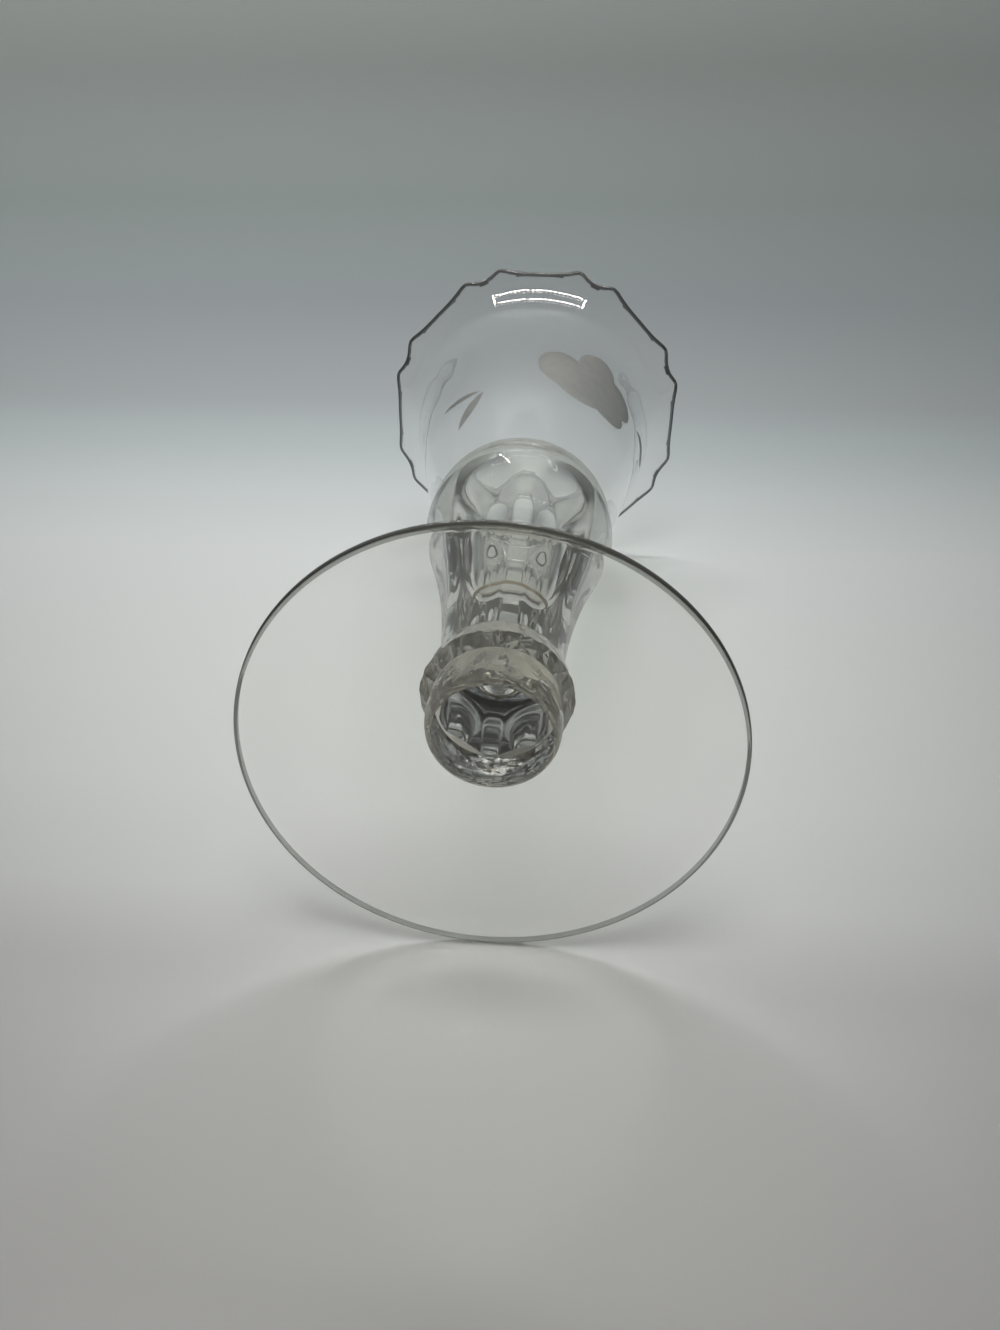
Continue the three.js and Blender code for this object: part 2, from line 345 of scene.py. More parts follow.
ring_outer = FOOT_RADIUS - FOOT_EDGE_RADIUS
ring_inner = ring_outer - FOOT_RING_WIDTH
foot_edge = 2 * FOOT_EDGE_RADIUS
underside = curve(
    (POLE_RADIUS, FOOT_DOME_RISE),
    (ring_inner * FOOT_CURVE_REACH, FOOT_DOME_RISE),
    (ring_inner * (1 - FOOT_CURVE_REACH), FOOT_DOME_RISE * FOOT_CURVE_REACH),
    (ring_inner, 0),
    steps=14,
)
rounding = []
for step in range(EDGE_ROUND_STEPS + 1):
    angle = math.radians(180 * step / EDGE_ROUND_STEPS - 90)
    reach = FOOT_EDGE_RADIUS * math.cos(angle)
    rounding.append((ring_outer + reach, FOOT_EDGE_RADIUS * (1 + math.sin(angle))))
topside = curve(
    (ring_outer, foot_edge),
    (ring_outer * (1 - FOOT_CURVE_REACH), foot_edge + FOOT_DOME_RISE * FOOT_CURVE_REACH),
    ((FOOT_SEAT_RADIUS + ring_outer) * FOOT_CURVE_REACH, FOOT_SEAT - FOOT_SEAT_DROP),
    (FOOT_SEAT_RADIUS, FOOT_SEAT),
    steps=14,
)[1:]
outline = underside + rounding + topside + [(POLE_RADIUS, FOOT_SEAT)]
foot = open_ring("blown_foot", *outline[0], STEM_STEPS, 0)
draw_wall(outline)
crease_ring(FOOT_SEAT_RADIUS, FOOT_SEAT)


def at_seat(radius, height):
    """A test for faces that lie in a flat seat inside that radius."""

    def test(place, normal):
        return math.hypot(place.x, place.y) < radius and abs(place.z - height) < 0.01 * MM

    return test


def at_foot_edge(place, normal):
    """A test for faces on the rounded edge."""
    return math.hypot(place.x, place.y) > ring_outer


slots = [(1, at_seat(FOOT_SEAT_RADIUS, FOOT_SEAT)), (2, at_foot_edge)]
finish_glass(foot, [foot_glass, hot_seal, foot_edge_shaded_glass], slots, "foot")

# Button
# A short solid drum of glass that joins the foot to the collar. It is a gather of hot glass set
# down on the foot and drawn up to the collar, so it is fullest below its middle.
COLLAR_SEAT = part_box("button")[1].z
BUTTON_BELLY_RADIUS = 13.6 * MM
BUTTON_BELLY_HEIGHT = 6.1 * MM
BUTTON_TOP_RADIUS = 12.6 * MM
BUTTON_UNEVENNESS = 0.1 * MM
SOLID_TINT_AND_SHADE = (0.53, 0.5, 0.37, 1)
MURKY_GREY = (0.14, 0.138, 0.125, 1)
FOLDS_PER_METRE = 230
CHILL_MARKS_PER_METRE = 140
CHILL_SPECKS_PER_METRE = 1100


def pressed(finish, tint, murk, slant_murk, folded=0):
    """Thick glass with chill marks and folds from the mould, murky where it is met at a slant."""
    object_place = finish.node("TexCoord", {}, {}, "Object")
    inputs = {"Vector": object_place, "Scale": FOLDS_PER_METRE}
    folds = finish.node("TexVoronoi", {}, inputs, "Distance")
    height = finish.ripple(CHILL_MARKS_PER_METRE, 3.0) + folded * folds
    strength = 0.12 + 0.4 * folded
    deep = (0.5 + folded) * MM
    bump = finish.node("Bump", {}, {"Strength": strength, "Distance": deep, "Height": height})
    roughness = 0.004 + 0.02 * finish.ripple(CHILL_SPECKS_PER_METRE, 4.0)
    glass = clear_glass(finish, tint, roughness, bump)
    grey = finish.node("BsdfPrincipled", {}, {"Base Color": MURKY_GREY, "Roughness": 0.5})
    slant = finish.node("LayerWeight", {}, {"Blend": 0.5}, "Facing")
    return finish.node("MixShader", {}, [murk + slant_murk * slant**3, glass, grey])


# Solid glass: with no bore to thin it, the button looks darker, its tint partly the glass's colour
# and partly painted shade.
solid_glass, finish = new_finish("solid_glass")
glass = pressed(finish, SOLID_TINT_AND_SHADE, murk=0.08, slant_murk=0.25, folded=1)
finish.show(finish.let_light_through(glass, shade=0.5))

side = curve(
    (FOOT_SEAT_RADIUS, FOOT_SEAT),
    (BUTTON_BELLY_RADIUS, FOOT_SEAT),
    (BUTTON_BELLY_RADIUS, FOOT_SEAT + BUTTON_BELLY_HEIGHT),
    (BUTTON_TOP_RADIUS, COLLAR_SEAT),
    steps=10,
)
outline = [(POLE_RADIUS, FOOT_SEAT)] + side + [(POLE_RADIUS, COLLAR_SEAT)]
button = open_ring("solid_button", *outline[0], STEM_STEPS, 0)
draw_wall(outline)
crease_ring(FOOT_SEAT_RADIUS, FOOT_SEAT)
crease_ring(BUTTON_TOP_RADIUS, COLLAR_SEAT)
pick(lambda point: FOOT_SEAT + 2 * MM < point.z < COLLAR_SEAT - 2 * MM)
bpy.ops.transform.vertex_random(offset=BUTTON_UNEVENNESS, seed=2)
slots = [(1, at_seat(FOOT_SEAT_RADIUS, FOOT_SEAT)), (1, at_seat(BUTTON_TOP_RADIUS, COLLAR_SEAT))]
finish_glass(button, [solid_glass, hot_seal], slots, "button")

# Collar
# A ring with one sharp edge low down and a blunt crest above it, fused between the button and
# the body. It is pressed with the body, and its sharp edge is the line where the mould closes,
# a little uneven where the hot glass has folded.
body_low, body_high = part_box("fluted_body")
BODY_SEAT = body_low.z
COLLAR_SHADE_TINT = (0.42, 0.4, 0.33, 1)
COLLAR_EDGE_RADIUS = 14.8 * MM
COLLAR_EDGE_HEIGHT = 2 * MM
COLLAR_CREST_RADIUS = 13.7 * MM
COLLAR_CREST_HEIGHT = 6.4 * MM
COLLAR_TOP_RADIUS = 13.1 * MM
COLLAR_UNEVENNESS = 0.3 * MM
NECK_RADIUS = 12.6 * MM
FLUTE_COUNT = 6
FIRST_RIB_AZIMUTH = 7
RIB_WIDTH = 4 * MM
FLUTE_DEPTH_AT_NECK = 1.1 * MM
STEPS_PER_FLUTE = STEM_STEPS // FLUTE_COUNT


def flute_offset(point):
    """Degrees from the middle of the flute that a point lies in."""
    pitch = 360 / FLUTE_COUNT
    return (azimuth_of(point) - FIRST_RIB_AZIMUTH) % pitch - pitch / 2


def press_flutes(radius, height, depth_at):
    """Sinks a round ring between the ribs, to the depth that depth_at gives for each offset."""
    pitch = 360 / FLUTE_COUNT
    for step in range(STEPS_PER_FLUTE // 2):
        offset = step * 360 / STEM_STEPS
        depth = depth_at(offset)
        if depth > 0:
            ring = on_ring(radius, height)
            pick(lambda point: ring(point) and abs(abs(flute_offset(point)) - offset) < 0.1)
            share = 1 - depth / radius
            bpy.ops.transform.resize(value=(share, share, 1), center_override=(0, 0, height))


def depth_at_neck(offset):
    """Depth of a flute where the body meets the collar."""
    half_span = 180 / FLUTE_COUNT - math.degrees(RIB_WIDTH / NECK_RADIUS / 2)
    return FLUTE_DEPTH_AT_NECK * max(1 - (offset / half_span) ** 2, 0)


edge_seat = COLLAR_SEAT + COLLAR_EDGE_HEIGHT
crest_seat = COLLAR_SEAT + COLLAR_CREST_HEIGHT
outline = [
    (POLE_RADIUS, COLLAR_SEAT),
    (BUTTON_TOP_RADIUS, COLLAR_SEAT),
    (COLLAR_EDGE_RADIUS - 0.8 * MM, edge_seat - 0.8 * MM),
    (COLLAR_EDGE_RADIUS, edge_seat),
    (COLLAR_EDGE_RADIUS - 0.5 * MM, edge_seat + 0.9 * MM),
    (COLLAR_CREST_RADIUS + 0.1 * MM, crest_seat - 1.2 * MM),
    (COLLAR_CREST_RADIUS, crest_seat),
    (COLLAR_TOP_RADIUS, BODY_SEAT),
    (NECK_RADIUS, BODY_SEAT),
    (POLE_RADIUS, BODY_SEAT),
]
collar = open_ring("folded_collar", *outline[0], STEM_STEPS, FIRST_RIB_AZIMUTH)
draw_wall(outline)
crease_ring(BUTTON_TOP_RADIUS, COLLAR_SEAT)
crease_ring(COLLAR_EDGE_RADIUS, edge_seat)
crease_ring(COLLAR_TOP_RADIUS, BODY_SEAT)
crease_ring(NECK_RADIUS, BODY_SEAT)
press_flutes(NECK_RADIUS, BODY_SEAT, depth_at_neck)
pick(lambda point: COLLAR_SEAT + 1 * MM < point.z < BODY_SEAT - 1 * MM)
bpy.ops.transform.vertex_random(offset=COLLAR_UNEVENNESS, seed=4)


def inside_neck(place, normal):
    """A test for faces that lie under the body's foot."""
    reach = NECK_RADIUS - depth_at_neck(abs(flute_offset(place)))
    return at_seat(reach, BODY_SEAT)(place, normal)


# Collar glass: a little murkier than the button's, and darker in its tint as painted shade.
collar_shaded_glass, finish = new_finish("collar_shaded_glass")
glass = pressed(finish, COLLAR_SHADE_TINT, murk=0.08, slant_murk=0.3, folded=1)
finish.show(finish.let_light_through(glass, shade=0.5))
slots = [(1, at_seat(BUTTON_TOP_RADIUS, COLLAR_SEAT)), (1, inside_neck)]
finish_glass(collar, [collar_shaded_glass, hot_seal], slots, "collar")

# Fluted body
# Thick pressed glass that swells from the neck to a rolled shoulder. Six flutes with arched tops
# sink between narrow ribs, and a narrow tapering bore goes down inside to about a third of it.
SEAM_SEAT = body_high.z
BODY_HEIGHT = SEAM_SEAT - BODY_SEAT
NECK_SLIM_SHARE = 0.44
SHOULDER_RADIUS = 24.4 * MM
SHOULDER_ROLL_HEIGHT = 12.5 * MM
SHOULDER_EASE = 1.6 * MM
ROLL_STEPS = 8
FLUTE_DEPTH_AT_ARCH = 2.2 * MM
FLUTE_ARCH_HEIGHT = 16 * MM
BORE_FLOOR_HEIGHT = 21 * MM
BORE_FLOOR_RADIUS = 8.4 * MM
BORE_WAIST_RADIUS = 8.6 * MM
BORE_WAIST_HEIGHT = 12 * MM
BORE_THROAT_RADIUS = 11 * MM
BORE_MOUTH_HEIGHT = 28 * MM
BORE_FUNNEL_RADIUS = 13 * MM
BORE_FUNNEL_HEIGHT = 11 * MM
SEAM_RADIUS = 22.8 * MM
SEAM_WALL = 3 * MM
PRESSED_TINT = (0.86, 0.86, 0.83, 1)
PRESSED_MURK = 0.06
PRESSED_SLANT_MURK = 0.35
LIME_BROWN = (0.2, 0.15, 0.06, 1)
LIME_HEIGHT = 1.6 * MM
LIME_PATCHES_PER_METRE = 260

pressed_glass, finish = new_finish("pressed_glass")
glass = pressed(finish, PRESSED_TINT, PRESSED_MURK, PRESSED_SLANT_MURK)
finish.show(finish.let_light_through(glass, shade=0.9))


def flute_depth(radius, height, offset):
    """Depth of a flute below the line of the ribs, at an offset in degrees from its middle."""
    arch_top = BODY_HEIGHT - SHOULDER_ROLL_HEIGHT
    arch_foot = arch_top - FLUTE_ARCH_HEIGHT
    rise = min(max((height - BODY_SEAT - arch_foot) / FLUTE_ARCH_HEIGHT, 0), 1)
    arch = math.sqrt(1 - rise**2)
    half_span = (180 / FLUTE_COUNT - math.degrees(RIB_WIDTH / radius / 2)) * arch
    if half_span <= offset:
        return 0
    along = min((height - BODY_SEAT) / arch_foot, 1)
    depth = FLUTE_DEPTH_AT_NECK + (FLUTE_DEPTH_AT_ARCH - FLUTE_DEPTH_AT_NECK) * along
    return depth * arch**2 * (1 - (offset / half_span) ** 2)


roll_foot = SEAM_SEAT - SHOULDER_ROLL_HEIGHT
rib_line = curve(
    (NECK_RADIUS, BODY_SEAT),
    (NECK_RADIUS, BODY_SEAT + (roll_foot - BODY_SEAT) * NECK_SLIM_SHARE),
    (SHOULDER_RADIUS, roll_foot - SHOULDER_EASE),
    (SHOULDER_RADIUS, roll_foot),
    steps=36,
)
roll = []
for step in range(1, ROLL_STEPS + 1):
    angle = math.radians(90) * step / ROLL_STEPS
    reach = (SHOULDER_RADIUS - SEAM_RADIUS) * math.cos(angle)
    roll.append((SEAM_RADIUS + reach, roll_foot + SHOULDER_ROLL_HEIGHT * math.sin(angle)))
mouth_radius = SEAM_RADIUS - SEAM_WALL
throat = (BORE_THROAT_RADIUS, SEAM_SEAT - BORE_MOUTH_HEIGHT)
mouth = curve(
    (mouth_radius, SEAM_SEAT),
    (mouth_radius, SEAM_SEAT - BORE_MOUTH_HEIGHT / 2),
    (BORE_FUNNEL_RADIUS, throat[1] + BORE_FUNNEL_HEIGHT),
    throat,
    steps=8,
)
bore_floor = BODY_SEAT + BORE_FLOOR_HEIGHT
well = curve(
    throat,
    (BORE_WAIST_RADIUS, bore_floor + BORE_WAIST_HEIGHT),
    (BORE_FLOOR_RADIUS, bore_floor),
    (POLE_RADIUS, bore_floor),
    steps=12,
)[1:]
outline = [(POLE_RADIUS, BODY_SEAT)] + rib_line + roll + mouth + well
body = open_ring("pressed_body", *outline[0], STEM_STEPS, FIRST_RIB_AZIMUTH)
draw_wall(outline)
crease_ring(NECK_RADIUS, BODY_SEAT)
crease_ring(SEAM_RADIUS, SEAM_SEAT)
crease_ring(mouth_radius, SEAM_SEAT)
for radius, height in rib_line:
    press_flutes(radius, height, lambda offset: flute_depth(radius, height, offset))

# Limed glass: the floor of the bore, with the brown line that standing water leaves round it.
limed_glass, finish = new_finish("limed_glass")
x, y, z = finish.place()
patchy = finish.ripple(LIME_PATCHES_PER_METRE, 3.0)
above_floor = abs(z - bore_floor - LIME_HEIGHT - 0.6 * MM * patchy)
stained = (1 - above_floor.between(0.2 * MM, 0.6 * MM)) * patchy.between(0.25, 0.5)
lime = finish.node("BsdfPrincipled", {}, {"Base Color": LIME_BROWN, "Roughness": 0.8})
clean = pressed(finish, PRESSED_TINT, PRESSED_MURK, PRESSED_SLANT_MURK)
limed = finish.node("MixShader", {}, [stained, clean, lime])
finish.show(finish.let_light_through(limed, shade=0.9))


def at_bore_floor(place, normal):
    """A test for faces of the bore near its floor."""
    inside = math.hypot(place.x, place.y) < BORE_FLOOR_RADIUS + 1 * MM
    return inside and BODY_SEAT + 1 * MM < place.z < bore_floor + BORE_WAIST_HEIGHT / 2


slots = [(1, inside_neck), (1, at_seat(SEAM_RADIUS, SEAM_SEAT)), (2, at_bore_floor)]
finish_glass(body, [pressed_glass, hot_seal, limed_glass], slots, "fluted_body")

# Bowl
# A thin blown wall that widens slowly from the seam and flares at the rim. The soft rim is
# crimped into wide shallow scallops with a narrow notch between each two, then fire polished.
# A flower spray is etched into the outside with acid, which leaves a flat grey satin.
BOWL_HEIGHT = 93.2 * MM
BOWL_WALL_RADIUS = 36.5 * MM
BOWL_WALL = 2 * MM
RIM_WALL = 1.6 * MM
RIM_RADIUS = 51.2 * MM
FLARE_SHARPNESS = 9.5
SEAM_SQUARE_SHARE = 0.2
SEAM_THINNING_SHARE = 0.34
SCALLOP_COUNT = 8
FIRST_SCALLOP_AZIMUTH = 1
SCALLOP_DIP = 2 * MM
SCALLOP_SPAN = 31.2
SCALLOP_FLATNESS = 2.5
NOTCH_DIP = 1.7 * MM
NOTCH_FLATNESS = 1.75
STEPS_PER_SCALLOP = 12


def rim_dip(offset):
    """How far the rim dips at an offset in degrees from the middle of a scallop."""
    if offset < SCALLOP_SPAN / 2:
        return SCALLOP_DIP * (1 - (offset / (SCALLOP_SPAN / 2)) ** SCALLOP_FLATNESS)
    half_notch = (360 / SCALLOP_COUNT - SCALLOP_SPAN) / 2
    from_middle = 180 / SCALLOP_COUNT - offset
    return NOTCH_DIP * (1 - (from_middle / half_notch) ** NOTCH_FLATNESS)


def wall_point(share, inset, rise=0, dip=0):
    """A (radius, height) of the wall, at a share of its height and of its thickness.

    The rise is how far the point stands above the wall's edge, in thicknesses.
    """
    whole = share * (BOWL_HEIGHT - dip) / BOWL_HEIGHT
    swell = (BOWL_WALL_RADIUS - SEAM_RADIUS) * (1 - (1 - whole) ** 2)
    flare = (RIM_RADIUS - BOWL_WALL_RADIUS) * whole**FLARE_SHARPNESS
    slope = 2 * (BOWL_WALL_RADIUS - SEAM_RADIUS) * (1 - whole)
    slope += (RIM_RADIUS - BOWL_WALL_RADIUS) * FLARE_SHARPNESS * whole ** (FLARE_SHARPNESS - 1)
    slope *= min(share / SEAM_SQUARE_SHARE, 1) / BOWL_HEIGHT
    length = math.hypot(1, slope)
    thin = BOWL_WALL + (RIM_WALL - BOWL_WALL) * share
    wall = SEAM_WALL + (thin - SEAM_WALL) * min(share / SEAM_THINNING_SHARE, 1)
    radius = SEAM_RADIUS + swell + flare - wall * (inset - rise * slope) / length
    height = SEAM_SEAT + whole * BOWL_HEIGHT + wall * (inset * slope + rise) / length
    return radius, height


def scallop_offset(point):
    """Degrees from the middle of the scallop that a point lies in, below 0 to its left."""
    pitch = 360 / SCALLOP_COUNT
    return (azimuth_of(point) - FIRST_SCALLOP_AZIMUTH + pitch / 2) % pitch - pitch / 2


low_shares = [0, 0.06, 0.13, 0.22, 0.32, 0.43, 0.54, 0.64, 0.73]
flare_shares = [0.8, 0.86, 0.9, 0.935, 0.965, 0.984, 0.996, 1]
shares = low_shares + flare_shares
outer_wall = [(share, 0, 0) for share in shares]
lip = [(1, 0.15, 0.19), (1, 0.5, 0.38), (1, 0.85, 0.19)]
inner_wall = [(share, 1, 0) for share in reversed(shares)]
rings = outer_wall + lip + inner_wall
steps = SCALLOP_COUNT * STEPS_PER_SCALLOP
bowl = open_ring("etched_bowl", *wall_point(0, 0), steps, FIRST_SCALLOP_AZIMUTH)
draw_wall([wall_point(*ring) for ring in rings])
pick(lambda point: abs(point.z - SEAM_SEAT) < 0.001 * MM)
bpy.ops.mesh.bridge_edge_loops()
crease_ring(SEAM_RADIUS, SEAM_SEAT)
crease_ring(SEAM_RADIUS - SEAM_WALL, SEAM_SEAT)
tip_offset = 0
for step in range(STEPS_PER_SCALLOP // 2 + 1):
    offset = step * 360 / steps
    if abs(offset - SCALLOP_SPAN / 2) < 180 / steps:
        tip_offset = offset
        continue
    dip = rim_dip(offset)
    for ring in rings:
        radius, height = wall_point(*ring)
        dipped_radius, dipped_height = wall_point(*ring, dip)
        if height - SEAM_SEAT < 1 * MM:
            continue
        column = on_ring(radius, height)
        pick(lambda point: column(point) and abs(abs(scallop_offset(point)) - offset) < 0.1)
        across = dipped_radius / radius
        along = (dipped_height - SEAM_SEAT) / (height - SEAM_SEAT)
        bpy.ops.transform.resize(value=(across, across, along), center_override=(0, 0, SEAM_SEAT))
for side in (-1, 1):
    pick(lambda point: abs(scallop_offset(point) - side * tip_offset) < 0.1)
    bpy.ops.transform.rotate(
        value=-side * math.radians(SCALLOP_SPAN / 2 - tip_offset),
        orient_axis="Z",
        center_override=(0, 0, SEAM_SEAT),
    )
rim_height = wall_point(1, 1)[1] - 0.01 * MM


def at_rim_tip(point):
    """A test for points of the rim where a scallop ends."""
    aside = abs(scallop_offset(point)) - SCALLOP_SPAN / 2
    return point.z > rim_height and abs(aside) < 0.1


pick(at_rim_tip)
bpy.ops.transform.vert_crease(value=1)

# Etched glass: the blown glass with the spray, a blossom with a pair of slim leaves on its left
# and a long leaf on its right. Places are in millimetres on the wall laid out flat, from the
# blossom's middle.
BLOSSOM_AZIMUTH = 36
BLOSSOM_HEIGHT = 153 * MM
BLOSSOM_REACH = 33.5 * MM
SATIN_GREY = (0.18, 0.18, 0.17, 1)
SATIN_GRAINS_PER_METRE = 2500
SATIN_PATCHES_PER_METRE = 260
SATIN_LET_IN = 0.6
SATIN_COVER = 0.6
SATIN_PATCHINESS = 0.16
PETAL_BLUR = 0.06
LEAF_BLUR = 0.2
# The lip is given a near-black tint: painted shade, a dark line along the rim.
RIM_SHADE_TINT = (0.06, 0.066, 0.066, 1)
LIP_REACH = 1.2 * MM
PETALS = [
    (-10.5, -3.0, 8.0, 11.0, 10),
    (0.5, 8.5, 6.5, 10.0, -12),
    (9.0, 2.5, 8.5, 8.5, 0),
    (6.5, -7.5, 9.0, 8.0, 25),
    (-3.5, -9.5, 9.5, 8.5, 0),
    (0.0, 0.0, 5.0, 5.0, 0),
]
LEAVES = [
    ((-52.9, -10.2), (-36.0, -15.0), 1.5),
    ((-46.6, -29.0), (-35.2, -15.2), 2.4),
    ((23.7, 11.8), (43.3, 36.0), 1.6),
]


def petal(along, up, middle_along, middle_up, half_width, half_length, lean):
    """1 in the middle of an oval petal, 0 along its edge and less than 0 outside it."""
    turn = math.radians(lean)
    across = (along - middle_along * MM) / MM
    rise = (up - middle_up * MM) / MM
    wide = (across * math.cos(turn) + rise * math.sin(turn)) / half_width
    long = (rise * math.cos(turn) - across * math.sin(turn)) / half_length
    return 1 - wide * wide - long * long


def leaf(along, up, start, end, half_width):
    """Above 0 inside a slim leaf that is pointed at both ends."""
    length = math.dist(start, end) / 2
    lean = math.atan2(end[1] - start[1], end[0] - start[0])
    across = (along - (start[0] + end[0]) / 2 * MM) / MM
    rise = (up - (start[1] + end[1]) / 2 * MM) / MM
    lengthwise = (across * math.cos(lean) + rise * math.sin(lean)) / length
    sidewise = abs(rise * math.cos(lean) - across * math.sin(lean)) / half_width
    return 1 - lengthwise * lengthwise - sidewise


etched_glass, finish = new_finish("etched_glass")
x, y, z = finish.place()
azimuth = x.math("ARCTAN2", 0 - y)
along = (azimuth - math.radians(BLOSSOM_AZIMUTH)) * BLOSSOM_REACH
up = z - BLOSSOM_HEIGHT
blossom = petal(along, up, *PETALS[0])
for shape in PETALS[1:]:
    blossom = blossom.at_least(petal(along, up, *shape))
leaves = leaf(along, up, *LEAVES[0])
for shape in LEAVES[1:]:
    leaves = leaves.at_least(leaf(along, up, *shape))
satin = blossom.between(0, PETAL_BLUR).at_least(leaves.between(0, LEAF_BLUR))
grain = finish.ripple(SATIN_GRAINS_PER_METRE, 3.0)
waves = finish.ripple(WAVES_PER_METRE)
glass = blown(finish, 0.006 + satin * 0.5, waves * (1 - satin) + grain * satin * 0.15)
thrown_back = finish.node("BsdfPrincipled", {}, {"Base Color": SATIN_GREY, "Roughness": 0.9})
let_in = finish.node("BsdfTranslucent", {}, {"Color": SATIN_GREY})
grey = finish.node("MixShader", {}, [SATIN_LET_IN, thrown_back, let_in])
patches = finish.ripple(SATIN_PATCHES_PER_METRE, 3.0)
covered = satin * (SATIN_COVER + SATIN_PATCHINESS * patches)
satin_glass = finish.node("MixShader", {}, [covered, glass, grey])
finish.show(finish.let_light_through(satin_glass, shade=0.9))


def inside_bowl(place, normal):
    """A test for faces on the inner wall."""
    share = (place.z - SEAM_SEAT) / BOWL_HEIGHT
    outer = wall_point(min(max(share, 0), 1), 0)[0]
    return math.hypot(place.x, place.y) < outer - 0.6 * MM


def on_lip(place, normal):
    """A test for faces of the rounded lip and of the millimetre of wall next to it."""
    lip_middle = wall_point(1, 0.5, 0, rim_dip(abs(scallop_offset(place))))
    return math.dist((math.hypot(place.x, place.y), place.z), lip_middle) < LIP_REACH


bowl_glass, finish = new_finish("bowl_glass")
glass = blown(finish, 0.01, finish.ripple(WAVES_PER_METRE))
finish.show(finish.let_light_through(glass, shade=0.9))
rim_shaded_glass = edge_finish("rim_shaded_glass", RIM_SHADE_TINT, roughness=0.2, worn=0.15)
slots = [(1, inside_bowl), (2, at_seat(SEAM_RADIUS, SEAM_SEAT)), (3, on_lip)]
finish_glass(bowl, [etched_glass, bowl_glass, hot_seal, rim_shaded_glass], slots, "bowl")

# Table and backdrop
# A pale paper sweep. The vase lies on its side on it for the picture, so the sweep stands
# along the vase, touches its foot and its rim, and bends over beyond the rim. It has only a
# front: from behind it isn't there. The floor shows only from above, also through the glass.
SWEEP_TILT = 0.0183
SWEEP_START = -0.5
SWEEP_BEND = 0.29
SWEEP_BEND_RADIUS = 0.16
BEND_STEPS = 24
SWEEP_END = -0.9
SWEEP_HALF_WIDTH = 0.9
# Painted light and shade: bright near the vase, darker towards both ends, a painted shadow by the
# foot.
SWEEP_PAINTED_LIGHT = [
    (-0.066, (0.421, 0.416, 0.406, 1)),
    (-0.02, (0.470, 0.469, 0.462, 1)),
    (-0.008, (0.468, 0.470, 0.464, 1)),
    (0.013, (0.553, 0.560, 0.553, 1)),
    (0.05, (0.599, 0.609, 0.598, 1)),
    (0.09, (0.602, 0.617, 0.601, 1)),
    (0.19, (0.594, 0.613, 0.610, 1)),
    (0.25, (0.530, 0.563, 0.563, 1)),
    (0.33, (0.413, 0.451, 0.458, 1)),
    (0.36, (0.363, 0.387, 0.400, 1)),
    (0.455, (0.299, 0.325, 0.336, 1)),
    (0.53, (0.303, 0.340, 0.333, 1)),
    (0.63, (0.430, 0.456, 0.446, 1)),
]
VIEW_MIDDLE = 0.0047
VIEW_DRIFT = 0.0548
VIEW_HALF_WIDTH = 0.0815
VIEW_WIDENING = 0.36
VIEW_WIDENING_END = 0.37
SHADED_ASIDE = 1.35
SHADED_FAR = 0.465
SIDE_FALL = 0.125
SIDE_FALL_LOSS = 1.1
RIGHT_FALL = 0.05
RIGHT_FALL_GAIN = 0.2
PAPER_ROUGHNESS = 0.95
PAPER_SHEEN = 0.1
FLOOR_TONE = (0.55, 0.565, 0.54, 1)
FLOOR_WIDTH = 6
FLOOR_DROP = 0.2 * MM
sweep_rest = FOOT_RADIUS + 0.3 * MM
bend_start = Vector((0, sweep_rest + SWEEP_TILT * SWEEP_BEND, SWEEP_BEND))
bpy.ops.object.select_all(action="DESELECT")
bpy.ops.mesh.primitive_plane_add(size=2, location=(0, 0, 0))
sweep = bpy.context.object
sweep.name = "sweep"
bpy.ops.object.mode_set(mode="EDIT")
bpy.ops.mesh.select_all(action="SELECT")
bpy.ops.transform.resize(value=(SWEEP_HALF_WIDTH, 0.5, 1), center_override=(0, 0, 0))
pick(lambda point: point.y < 0)
start = Vector((0, sweep_rest + SWEEP_TILT * SWEEP_START, SWEEP_START))
bpy.ops.transform.translate(value=start + Vector((0, 0.5, 0)))
pick(lambda point: point.z == 0)
bpy.ops.transform.translate(value=bend_start - Vector((0, 0.5, 0)))
place = bend_start
for step in range(1, BEND_STEPS + 1):
    angle = math.radians(90) * step / BEND_STEPS
    bend = Vector((0, math.cos(angle) - 1, math.sin(angle)))
    next_place = bend_start + SWEEP_BEND_RADIUS * bend
    bpy.ops.mesh.extrude_edges_move(TRANSFORM_OT_translate={"value": next_place - place})
    place = next_place
bpy.ops.mesh.extrude_edges_move(TRANSFORM_OT_translate={"value": (0, SWEEP_END - place.y, 0)})
bpy.ops.mesh.select_all(action="SELECT")
bpy.ops.mesh.normals_make_consistent(inside=False)
bpy.ops.object.mode_set(mode="OBJECT")
if sweep.data.polygons[0].normal.y > 0:
    sweep.data.flip_normals()
bpy.ops.object.shade_smooth()


def show_paper(finish, tone, seen=1):
    """Makes it matt paper with a front only, that lets light through where it isn't seen."""
    backfacing = finish.node("NewGeometry", {}, {}, "Backfacing")
    inputs = {
        "Base Color": tone,
        "Roughness": PAPER_ROUGHNESS,
        "Specular IOR Level": PAPER_SHEEN,
    }
    front = finish.node("BsdfPrincipled", {}, inputs)
    behind = finish.node("BsdfTransparent", {}, {"Color": UNTINTED})
    finish.show(finish.node("MixShader", {}, [seen * (1 - backfacing), behind, front]))


